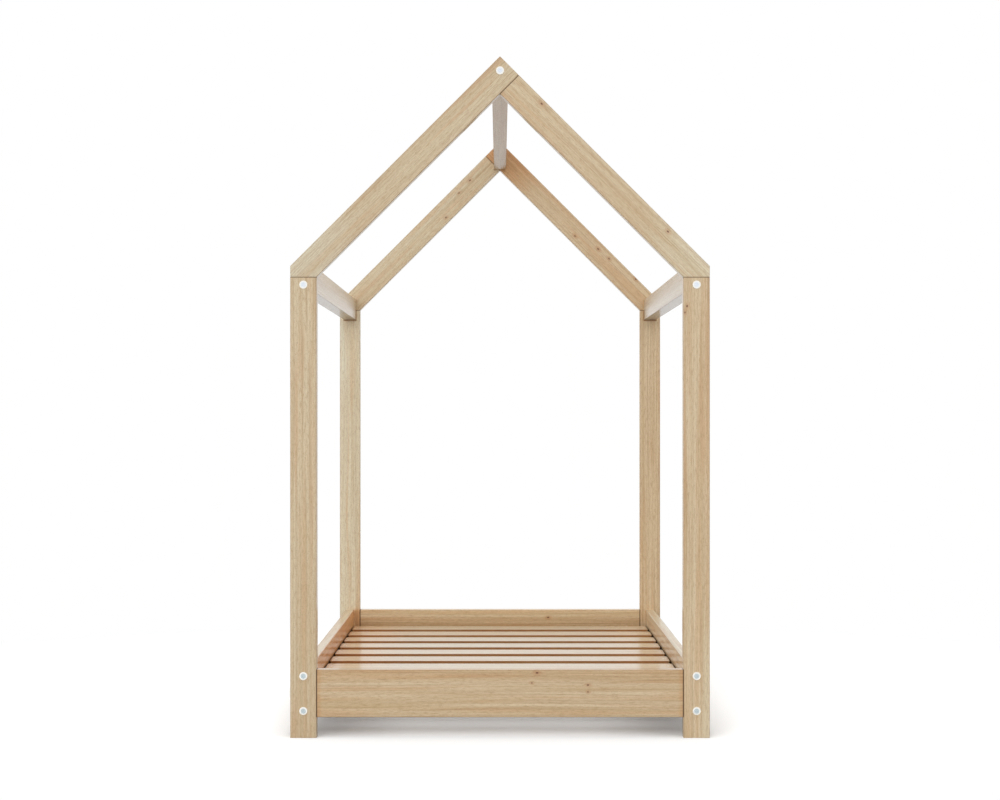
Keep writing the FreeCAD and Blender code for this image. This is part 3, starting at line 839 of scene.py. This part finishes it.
# %% Screw
screw_head_radius, screw_head_depth, head_edge = 0.004, 0.0022, 0.0002
recess_depth = 0.0015
recess_floor = (0.0026, 0.0007)  # span and width of the cross at the bottom,
recess_rim = (0.0044, 0.0010)  # and at the top
screw_core, screw_outer = 0.0014, 0.0019
screw_pitch, screw_crest = 0.0018, 2.4
plain_share = 0.4  # of the length, without a thread
point_length, point_share = 0.004, 0.06  # and its tip's share of the thread's radius
screw_rings, point_rings = 8, 12


def cross_recess(span, width):
    """Radius of a cross at each angle: the farther reach of two crossed rectangles."""
    across, along = np.abs(np.cos(angles)) + 1e-9, np.abs(np.sin(angles)) + 1e-9
    first = np.minimum(span / 2 / across, width / 2 / along)
    second = np.minimum(span / 2 / along, width / 2 / across)
    return np.maximum(first, second)


def screw_bands(length):
    """Bands of a screw; its point is a cone."""
    thread_start, thread_end = length * plain_share, length - point_length
    depth = screw_outer - screw_core
    cone = np.linspace(1, point_share, point_rings)[:, None]
    return [
        (cross_recess(*recess_floor), recess_depth),
        (cross_recess(*recess_rim), 0.0),
        (screw_head_radius - head_edge, 0.0),
        (screw_head_radius, head_edge),
        (screw_outer, screw_head_depth),
        (screw_outer, thread_start),
        thread(
            screw_outer, depth, screw_pitch, thread_start, thread_end, screw_rings, screw_crest,
        ),
        (screw_outer * cone, thread_end + (1 - cone) * point_length),
    ]


print(f"screw heads {2000 * screw_head_radius:.0f} mm wide")

# %% [markdown]
# ### Placing them
# Every copy is turned by a chance angle about its axis, as nobody stops all keys at the same
# place. Points keep their coordinates on the lathe as an attribute, and the finish draws its
# turning marks by them.

# %% Placing turned parts
crease_angle = 35  # degrees; steeper edges stay sharp


def facing(direction, spin):
    """Turns the lathe's axis to a direction, after a spin about it."""
    return Vector(direction).to_track_quat("Z", "Y").to_matrix() @ Matrix.Rotation(spin, 3, "Z")


def turned_group(node_name, bands, seats, seed, material):
    """One object with a copy of a turned piece at each seat, in the place of a CAD group."""
    points, faces = lathe(bands)
    rng = np.random.default_rng(seed)
    placed = []
    for place, direction in seats:
        turn = np.array(facing(direction, rng.uniform(0, 2 * math.pi)))
        placed.append(points @ turn.T + np.array(place))
    copies = len(placed)
    all_faces = [
        [corner + number * len(points) for corner in face]
        for number in range(copies) for face in faces
    ]
    mesh = bpy.data.meshes.new("turned_" + node_name)
    mesh.from_pydata(np.vstack(placed).tolist(), [], all_faces)
    on_lathe = mesh.attributes.new("lathe", "FLOAT_VECTOR", "POINT")
    on_lathe.data.foreach_set("vector", np.tile(points, (copies, 1)).ravel())
    mesh.materials.append(material)
    mesh.shade_smooth()
    mesh.set_sharp_from_angle(angle=math.radians(crease_angle))
    piece = bpy.data.objects.new("turned_" + node_name, mesh)
    bpy.context.scene.collection.objects.link(piece)
    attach(piece, "root")
    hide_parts(node_name)
    print(f"{node_name}: {copies} copies, {len(mesh.polygons)} faces")


# %% [markdown]
# ### Seats
# A seat is a place on the wood and the direction in which the bolt or screw goes in. The
# construction model says where each group is: the heads touch the sides of the group's box, so
# their axes lie one head radius inside it.

# %% Seats of bolts and screws
same_place = 1e-4  # metres; ends nearer than this are one place


def spread(low, high, count):
    """Evenly spread places, or the one place where both ends meet."""
    return np.linspace(low, high, count) if high - low > same_place else [(low + high) / 2]


def side_rows(low, high, inset, count):
    """Rows of places along Y, each as a pair: its side, -1 or 1, and its y."""
    return [(side, y) for y in spread(low.y + inset, high.y - inset, count) for side in (-1, 1)]


def gable_seats(node_name, across, up):
    """Seats of bolts that pass through the gables along Y; their heads lie on the outside."""
    low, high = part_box(node_name)
    return [
        ((x, side * (high.y - head_height), z), (0, -side, 0))
        for x in spread(low.x + head_radius, high.x - head_radius, across)
        for z in spread(low.z + head_radius, high.z - head_radius, up)
        for side in (-1, 1)
    ]


def post_seats(node_name):
    """Seats of the bolts that pass through the posts along X."""
    low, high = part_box(node_name)
    return [
        ((side * (high.x - head_height), y, (low.z + high.z) / 2), (-side, 0, 0))
        for side, y in side_rows(low, high, head_radius, 2)
    ]


def slat_screw_seats(node_name, count):
    """A screw over each bearer at every slat, with its head level with the slat."""
    low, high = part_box(node_name)
    return [
        ((side * (high.x - screw_head_radius), y, high.z), (0, 0, -1))
        for side, y in side_rows(low, high, screw_head_radius, count)
    ]


def bearer_screw_seats(node_name, length, count):
    """Screws from the inside through the bearers into the side rails."""
    low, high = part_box(node_name)
    return [
        ((side * (high.x - length), y, (low.z + high.z) / 2), (side, 0, 0))
        for side, y in side_rows(low, high, screw_head_radius, count)
    ]


print(f"{len(gable_seats('side_rail_bolts', 2, 2))} seats for the side rails' bolts")

# %% [markdown]
# ### Zinc-plated steel
# Bright zinc is a very pale metal. Turning leaves fine rings round the axis: on the flat of the
# head they change with the radius, and along the shank with the height, so one noise along
# their sum does for all. The pressed dish and the socket are painted a duller, bluish zinc, a
# painted shade for the hollow, and on the rail bolts a greyer one.

# %% Zinc
zinc_bright = linear(252, 250, 244)
# duller, bluish zinc: patches of bloom, and painted shade in the dish and socket
zinc_dull = linear(233, 239, 246)
# painted shade: the greyer zinc in the rail bolts' dish and socket
zinc_shaded_grey = linear(198, 210, 214)
dull_border = 0.0003  # metres over which the dull middle turns bright
turning_scale = 9000.0  # waves to the metre, along the sum of radius and height
bloom_scale = (700, 700, 700)
bloom_shows = (0.35, 0.75, 0.0, 0.25)  # two levels of the bloom, and its share at each
turned_gloss = (0.7, 1.3, 0.2, 0.36)  # two levels of both patterns' sum, and the roughness
nut_scale = (2500, 2500, 2500)
nut_levels, nut_gloss = (0.3, 0.7), (0.24, 0.38)
mark_strength, mark_depth = 0.3, 0.00003


def zinc_surface(tree, colour, rough, marks):
    """Metal with the marks as a fine relief."""
    relief = {"Height": marks, "Strength": mark_strength, "Distance": mark_depth}
    bump = node(tree, "Bump", relief).outputs[0]
    inputs = {"Base Color": colour, "Metallic": 1.0, "Roughness": rough, "Normal": bump}
    shader = node(tree, "BsdfPrincipled", inputs)
    node(tree, "OutputMaterial", {"Surface": shader.outputs[0]})


def zinc(name, shaded_radius, dull_colour=zinc_dull):
    """Zinc for turned parts: bright, with turning marks and duller bloom, and painted darker out to
    a radius as painted shade in the hollow.
    """
    material = new_material(name)
    tree = material.node_tree
    here = node(tree, "Attribute", attribute_name="lathe").outputs["Vector"]
    height = node(tree, "SeparateXYZ", {0: here}).outputs[2]
    radius = vector_maths(tree, "LENGTH", vector_maths(tree, "MULTIPLY", here, (1, 1, 0)))
    inputs = {"W": maths(tree, "ADD", radius, height), "Scale": turning_scale, "Detail": 2.0}
    marks = node(tree, "TexNoise", inputs, noise_dimensions="1D").outputs[0]
    bloom = noise(tree, here, bloom_scale, 3.0).outputs[0]
    shaded_middle = between(tree, radius, shaded_radius, shaded_radius + dull_border, 1.0, 0.0)
    colour = mixed(tree, shaded_middle, zinc_bright, dull_colour)
    colour = mixed(tree, between(tree, bloom, *bloom_shows), colour, dull_colour)
    rough = between(tree, maths(tree, "ADD", marks, bloom), *turned_gloss)
    zinc_surface(tree, colour, rough, marks)
    return material


def plated(name):
    """Zinc for the barrel nuts, whose round bodies stay as the construction model has them."""
    material = new_material(name)
    tree = material.node_tree
    here = node(tree, "TexCoord").outputs["Object"]
    marks = noise(tree, here, nut_scale, 2.0).outputs[0]
    colour = mixed(tree, between(tree, marks, *nut_levels), zinc_bright, zinc_dull)
    zinc_surface(tree, colour, between(tree, marks, *nut_levels, *nut_gloss), marks)
    return material


zincs = (zinc_bright, zinc_dull, zinc_shaded_grey)
print("red of bright, dull and worn zinc:", [round(float(colour[0]), 2) for colour in zincs])

# %% All bolts, screws and nuts
beam_bolt, post_bolt = 0.070, 0.090  # lengths below the head
slat_screw, bearer_screw = 0.035, 0.040
slat_count, bearer_rows = 9, 8
# the heads' middles are painted darker out to these radii: painted shade in their hollows
shaded_dish_radius, shaded_recess_radius = 0.0047, 0.0016  # radii of the dull middles
bolt_zinc = zinc("zinc_bolt", shaded_dish_radius)
rail_bolt_zinc = zinc("zinc_rail_bolt", shaded_dish_radius, zinc_shaded_grey)
screw_zinc = zinc("zinc_screw", shaded_recess_radius)

gable_bolts = [  # node, bolts across and up, and finish
    ("side_rail_bolts", 2, 2, rail_bolt_zinc),
    ("eaves_bolts", 2, 1, bolt_zinc),
    ("ridge_bolts", 1, 1, bolt_zinc),
]
for seed, (name, across, up, finish) in enumerate(gable_bolts, start=1):
    turned_group(name, bolt_bands(beam_bolt), gable_seats(name, across, up), seed, finish)
turned_group("end_rail_bolts", bolt_bands(post_bolt), post_seats("end_rail_bolts"), 4, bolt_zinc)
turned_group(
    "slat_screws", screw_bands(slat_screw),
    slat_screw_seats("slat_screws", slat_count), 5, screw_zinc,
)
turned_group(
    "slat_bearer_screws", screw_bands(bearer_screw),
    bearer_screw_seats("slat_bearer_screws", bearer_screw, bearer_rows), 6, screw_zinc,
)
nut_zinc = plated("zinc_nut")
for name in boards:
    if name.endswith("barrel_nuts"):
        boards[name].data.materials[0] = nut_zinc

# %% [markdown]
# ## Studio
# A pale floor runs to the horizon under a white sky. Both look white to the camera, and in
# what varnish and metal mirror. As lights they would bleach the wood, so the light that falls
# on the bed is weaker. The light path tells which kind of ray is asking.

# %% White for the camera
# Painted light: more white beside the bed paints over its shadow, and under it a painted pool
open_glow = 0.19  # white added to what the camera sees of the floor before and behind the bed,
# of light is brightest along the middle.
painted_beside_light = 0.36  # to its left and right,
painted_pool_light = (0.225, 0.03)  # and under it: along its middle, and at its sides
inner_share = 0.95  # of the bed's half width and length: the floor inside its boards
pool_edge = (0.4, 1.0)  # shares of the inner half width between which the pool fades,
side_edge = (1.0, 1.1)  # the open floor begins,
glow_edge = (1.0, 1.3)  # and its glow grows
end_edge = (0.97, 1.05)  # shares of the inner half length where the open floor begins


def seen_directly(tree):
    """1 for rays from the camera, and for rays mirrored or passed through to it."""
    rays = node(tree, "LightPath").outputs
    seen = maths(tree, "MAXIMUM", rays["Is Camera Ray"], rays["Is Glossy Ray"])
    return maths(tree, "MAXIMUM", seen, rays["Is Transmission Ray"])


def between_shares(tree, value, size, shares, *levels):
    """Eases between two levels while the value goes from one share of a size to another."""
    return between(tree, value, size * shares[0], size * shares[1], *levels)


def painted_floor_light(tree, here):
    """Painted light on the floor: white added round the bed, more of it beside the bed, and under
    it a painted pool of light in a strip along its middle.

    The pool stands in for light that falls in between the slats, and it fades towards the sides,
    so the shade is deepest beside the posts and rails.
    """
    inner_x, inner_y = (inner_share * half for half in cad_box[1].xy)
    parts = node(tree, "SeparateXYZ", {0: here}).outputs
    sideways = maths(tree, "ABSOLUTE", parts[0])
    lengthways = maths(tree, "ABSOLUTE", parts[1])
    pool = between_shares(tree, sideways, inner_x, pool_edge, *painted_pool_light)
    around = between_shares(tree, sideways, inner_x, glow_edge, open_glow, painted_beside_light)
    past_end = between_shares(tree, lengthways, inner_y, end_edge)
    past_side = between_shares(tree, sideways, inner_x, side_edge)
    away = maths(tree, "MAXIMUM", past_end, past_side)
    under = maths(tree, "SUBTRACT", 1.0, away)
    open_part = maths(tree, "MULTIPLY", away, around)
    return maths(tree, "ADD", open_part, maths(tree, "MULTIPLY", under, pool))


print(f"white added under the bed: {painted_pool_light[0]} in its middle, {painted_pool_light[1]} at its sides")

# %% [markdown]
# ### Floor
# The floor still takes the bed's soft shadow, because the added white lies on top of the light
# that reaches it. The added white is painted light: a pool under the middle of the bed, and more
# white beside the bed, over its shadow there. Further out the floor turns plain white, so it has
# no visible edge.

# %% Floor
floor_reach = 60.0  # metres from its middle to a side
floor_seen = (0.86, 0.88)  # floor colour as the camera sees it,
floor_lit = (0.42, 0.42, 0.42, 1)  # and as it sends light back to the bed
floor_roughness = 0.6
cloud_scale, cloud_levels = (1.5, 1.5, 1.5), (0.3, 0.7)
shadow_reach = (1.1, 1.8)  # from the bed's middle, where the floor turns plain white
white = (1, 1, 1, 1)


def floor_paint():
    """Pale paint with added white; far from the bed it is plain white to the camera."""
    material = new_material("pale_floor")
    tree = material.node_tree
    here = node(tree, "TexCoord").outputs["Object"]
    cloud = noise(tree, here, cloud_scale, 2.0).outputs[0]
    seen = seen_directly(tree)
    shown = between(tree, cloud, *cloud_levels, *floor_seen)
    grey = node(tree, "CombineXYZ", {0: shown, 1: shown, 2: shown}).outputs[0]
    colour = mixed(tree, seen, floor_lit, grey)
    paint = node(tree, "BsdfDiffuse", {"Color": colour, "Roughness": floor_roughness})
    strength = maths(tree, "MULTIPLY", seen, painted_floor_light(tree, here))
    glow = node(tree, "Emission", {"Color": white, "Strength": strength})
    near = node(tree, "AddShader", {0: paint.outputs[0], 1: glow.outputs[0]})
    far = node(tree, "Emission", {"Color": white, "Strength": 1.0})
    away = between(tree, vector_maths(tree, "LENGTH", here), *shadow_reach)
    plain = maths(tree, "MULTIPLY", seen, away)
    both = node(tree, "MixShader", {0: plain, 1: near.outputs[0], 2: far.outputs[0]})
    node(tree, "OutputMaterial", {"Surface": both.outputs[0]})
    return material


def make_floor():
    """A square of floor, large enough to reach the horizon."""
    corners = [(-1, -1, 0), (1, -1, 0), (1, 1, 0), (-1, 1, 0)]
    mesh = bpy.data.meshes.new("floor")
    mesh.from_pydata((np.array(corners) * floor_reach).tolist(), [], [(0, 1, 2, 3)])
    mesh.materials.append(floor_paint())
    floor = bpy.data.objects.new("floor", mesh)
    bpy.context.scene.collection.objects.link(floor)
    print(f"floor {2 * floor_reach:.0f} m square")


make_floor()

# %% [markdown]
# ### Sky and lamps
# The sky is white to the camera and a little darker to the bed. Two square lamps add a soft
# light from the front and from the left. They would bleach a varnished beam that is seen at a
# low angle, so they are hidden from mirrored rays.

# %% Sky and lamps
sky_low, sky_high = 0.78, 0.82  # brightness to the bed, at the horizon and overhead
dome_heights = (0.0, 0.9)
lamps = [  # name, place, target, side in metres and power in watts
    ("side_softbox", (-4.5, -1.0, 1.7), (0, 0, 0.5), 3.0, 25),
    ("front_softbox", (-0.8, -6.2, 1.8), (0, 0, 0.6), 4.0, 104),
]


def make_sky():
    world = bpy.data.worlds.new("studio_sky")
    world.use_nodes = True
    tree = world.node_tree
    tree.nodes.clear()
    direction = node(tree, "TexCoord").outputs["Generated"]
    height = node(tree, "SeparateXYZ", {0: direction}).outputs[2]
    dome = between(tree, height, *dome_heights, sky_low, sky_high)
    seen = seen_directly(tree)
    hidden = maths(tree, "MULTIPLY", maths(tree, "SUBTRACT", 1.0, seen), dome)
    inputs = {"Color": white, "Strength": maths(tree, "ADD", seen, hidden)}
    sky = node(tree, "Background", inputs)
    node(tree, "OutputWorld", {"Surface": sky.outputs[0]})
    bpy.context.scene.world = world


def softbox(name, place, target, side, power):
    """A square lamp that looks from its place at a target, and that nothing mirrors."""
    lamp = bpy.data.lights.new(name, "AREA")
    lamp.size = side
    lamp.energy = power
    holder = bpy.data.objects.new(name, lamp)
    holder.visible_glossy = False
    holder.location = place
    holder.rotation_euler = (Vector(target) - Vector(place)).to_track_quat("-Z", "Y").to_euler()
    bpy.context.scene.collection.objects.link(holder)
    print(f"{name}: {power} W")


make_sky()
for lamp in lamps:
    softbox(*lamp)
